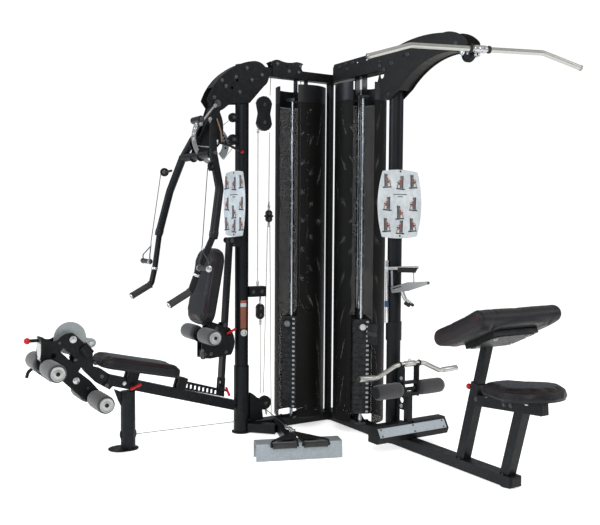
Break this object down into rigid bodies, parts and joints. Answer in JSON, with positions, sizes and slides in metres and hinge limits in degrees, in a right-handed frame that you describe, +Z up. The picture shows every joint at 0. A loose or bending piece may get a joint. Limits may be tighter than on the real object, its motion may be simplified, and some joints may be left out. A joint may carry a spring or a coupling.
{
  "type": "multi station home gym",
  "caption": "Corner-shaped home gym with two shrouded weight stacks, press arms, a pulldown bar, a leg lever bench, a low row and a padded curl seat.",
  "frame": {"origin": "floor point under the inside corner post, at the centre of its rubber foot", "axes": "+Z up; the press and bench arm runs along -X and the pulldown and row-seat arm along -Y"},
  "size_m": [2.2878, 2.1792, 2.1279],
  "materials": {
    "black_frame": "satin black powder coat",
    "silver_coat": "galvanised silver grey coat",
    "chrome": "polished chrome",
    "brushed": "brushed steel",
    "weight_iron": "black painted cast plate",
    "mesh_steel": "perforated black steel sheet",
    "leather": "dark charcoal grained upholstery with dark red piping",
    "foam": "black closed-cell foam",
    "rubber": "moulded black rubber",
    "black_plastic": "moulded black nylon",
    "red_plastic": "glossy red knob",
    "cable_coat": "coated steel cable",
    "chart": "pale laminated board with figures and no words"
  },
  "bodies": {
    "frame": {"left_base_beam": "black_frame", "right_base_beam": "black_frame", "row_base_tube": "black_frame", "rubber_feet": "rubber", "row_foot_plate": "silver_coat", "left_column": "black_frame", "right_column": "black_frame", "corner_frame": "black_frame", "top_pulley_bracket": "black_frame", "press_head": "black_frame", "lat_head": "black_frame", "bench_frame": "black_frame", "leg_head": "black_frame", "left_column_brackets": "black_frame", "ankle_frame": "black_frame", "foot_rest": "black_frame", "seat_frame": "black_frame", "lat_seat": "leather", "weight_plates": "weight_iron", "guide_rods": "chrome", "shroud_bands": "black_frame", "left_shroud": "mesh_steel", "right_shroud": "mesh_steel", "exercise_charts": "chart", "machine_cables": "cable_coat", "pulley_blocks": "black_plastic", "stored_accessories": "black_plastic"},
    "left_stack": {"left_stack_carriage": "weight_iron"},
    "left_selector": {"left_selector_pin": "black_plastic"},
    "right_stack": {"right_stack_carriage": "weight_iron"},
    "right_selector": {"right_selector_pin": "black_plastic"},
    "pulldown_bar": {"lat_bar": "chrome"},
    "nose_pulley": {"lat_pulley": "black_plastic"},
    "press_cam": {"press_carriage": "black_frame"},
    "press_arms": {"press_yoke": "black_frame", "left_press_arm": "black_frame", "right_press_arm": "black_frame"},
    "left_handle": {"left_cable_handle": "chrome"},
    "right_handle": {"right_cable_handle": "chrome"},
    "leg_drive": {"leg_cam": "black_frame"},
    "leg_arm": {"leg_lever": "black_frame"},
    "upper_rollers": {"upper_leg_rollers": "foam"},
    "lower_rollers": {"lower_leg_rollers": "foam"},
    "leg_angle_pin": {"leg_pin": "red_plastic"},
    "back_post_swing": {"back_post": "black_frame"},
    "back_rest": {"back_pad": "leather", "back_carriage": "black_frame"},
    "back_foam": {"back_rollers": "foam"},
    "back_rest_pin": {"back_rest_pin": "red_plastic"},
    "back_post_pin": {"back_pin": "red_plastic"},
    "bench": {"bench_seat": "leather", "bench_seat_blocks": "black_frame"},
    "bench_pin": {"seat_pin": "red_plastic"},
    "arm_pad": {"preacher_post": "black_frame", "preacher_pad": "leather"},
    "arm_pad_pin": {"preacher_pin": "red_plastic"},
    "row_grip": {"row_handle": "rubber"},
    "row_pulley": {"low_pulley": "black_plastic"},
    "curl": {"curl_bar": "chrome"},
    "ankle_foam": {"ankle_rollers": "foam"}
  },
  "joints": [
    {"name": "press_swing", "type": "hinge", "parent": "frame", "child": "press_cam", "pos_m": [-0.783, 0, 1.828], "axis": [0, 1, 0], "range_deg": [0, 50]},
    {"name": "press_start_angle", "type": "hinge", "parent": "press_cam", "child": "press_arms", "pos_m": [-0.783, 0, 1.828], "axis": [0, 1, 0], "range_deg": [-5, 25]},
    {"name": "left_stack_lift", "type": "slide", "parent": "frame", "child": "left_stack", "axis": [0, 0, 1], "range_m": [0, 0.45]},
    {"name": "left_selector_pull", "type": "slide", "parent": "left_stack", "child": "left_selector", "axis": [-0.8797, -0.4756, 0], "range_m": [0, 0.15]},
    {"name": "right_stack_lift", "type": "slide", "parent": "frame", "child": "right_stack", "axis": [0, 0, 1], "range_m": [0, 1.1]},
    {"name": "right_selector_pull", "type": "slide", "parent": "right_stack", "child": "right_selector", "axis": [-0.4756, -0.8797, 0], "range_m": [0, 0.15]},
    {"name": "pulldown", "type": "slide", "parent": "frame", "child": "pulldown_bar", "axis": [0, 0, -1], "range_m": [0, 1.1]},
    {"name": "nose_pulley_spin", "type": "hinge", "parent": "frame", "child": "nose_pulley", "pos_m": [0, -1.15, 1.998], "axis": [-1, 0, 0], "continuous": true},
    {"name": "left_handle_pull", "type": "slide", "parent": "frame", "child": "left_handle", "axis": [0, 0, -1], "range_m": [0, 0.35]},
    {"name": "right_handle_pull", "type": "slide", "parent": "frame", "child": "right_handle", "axis": [0, 0, -1], "range_m": [0, 0.35]},
    {"name": "leg_extension", "type": "hinge", "parent": "frame", "child": "leg_drive", "pos_m": [-1.576, 0, 0.605], "axis": [0, 1, 0], "range_deg": [0, 80]},
    {"name": "leg_start_angle", "type": "hinge", "parent": "leg_drive", "child": "leg_arm", "pos_m": [-1.576, 0, 0.605], "axis": [0, 1, 0], "range_deg": [0, 45]},
    {"name": "upper_roller_spin", "type": "hinge", "parent": "leg_arm", "child": "upper_rollers", "pos_m": [-1.7, 0, 0.473], "axis": [0, 1, 0], "continuous": true},
    {"name": "lower_roller_spin", "type": "hinge", "parent": "leg_arm", "child": "lower_rollers", "pos_m": [-1.467, 0, 0.298], "axis": [0, 1, 0], "continuous": true},
    {"name": "leg_pin_pull", "type": "slide", "parent": "leg_arm", "child": "leg_angle_pin", "axis": [-1, 0, 0], "range_m": [0, 0.012], "stiffness_N_per_m": 400},
    {"name": "back_recline", "type": "hinge", "parent": "frame", "child": "back_post_swing", "pos_m": [-0.6858, 0, 1.088], "axis": [0, 1, 0], "range_deg": [0, 11]},
    {"name": "back_height", "type": "slide", "parent": "back_post_swing", "child": "back_rest", "axis": [0.0644, 0, 0.9979], "range_m": [0, 0.12]},
    {"name": "back_roller_spin", "type": "hinge", "parent": "back_rest", "child": "back_foam", "pos_m": [-0.862, 0, 0.576], "axis": [0, 1, 0], "continuous": true},
    {"name": "back_rest_pin_pull", "type": "slide", "parent": "back_rest", "child": "back_rest_pin", "axis": [0, -1, 0], "range_m": [0, 0.012], "stiffness_N_per_m": 400},
    {"name": "back_pin_pull", "type": "slide", "parent": "back_post_swing", "child": "back_post_pin", "axis": [0, -1, 0], "range_m": [0, 0.012], "stiffness_N_per_m": 400},
    {"name": "bench_adjust", "type": "slide", "parent": "frame", "child": "bench", "axis": [0.9583, 0, -0.2857], "range_m": [0, 0.03]},
    {"name": "seat_pin_pull", "type": "slide", "parent": "bench", "child": "bench_pin", "axis": [0, -1, 0], "range_m": [0, 0.012], "stiffness_N_per_m": 400},
    {"name": "arm_pad_height", "type": "slide", "parent": "frame", "child": "arm_pad", "axis": [0, -0.2487, 0.9686], "range_m": [0, 0.12]},
    {"name": "arm_pad_pin_pull", "type": "slide", "parent": "frame", "child": "arm_pad_pin", "axis": [0, 0.9686, 0.2487], "range_m": [0, 0.012], "stiffness_N_per_m": 400},
    {"name": "row_pull", "type": "slide", "parent": "frame", "child": "row_grip", "axis": [-0.3387, -0.9409, 0], "range_m": [0, 0.6]},
    {"name": "low_pulley_spin", "type": "hinge", "parent": "frame", "child": "row_pulley", "pos_m": [-0.46, 0, 0.15], "axis": [0, 1, 0], "continuous": true},
    {"name": "curl_lift", "type": "slide", "parent": "frame", "child": "curl", "axis": [0, 0, 1], "range_m": [0, 0.25]},
    {"name": "ankle_roller_spin", "type": "hinge", "parent": "frame", "child": "ankle_foam", "pos_m": [0, -0.742, 0.318], "axis": [1, 0, 0], "continuous": true}
  ],
  "couplings": [
    {"joint": "left_stack_lift", "follows": "press_swing", "m_per_rad": 0.51566},
    {"joint": "pulldown", "follows": "right_stack_lift", "ratio": 1},
    {"joint": "nose_pulley_spin", "follows": "right_stack_lift", "rad_per_m": 22.222},
    {"joint": "low_pulley_spin", "follows": "row_pull", "rad_per_m": 24.39}
  ]
}
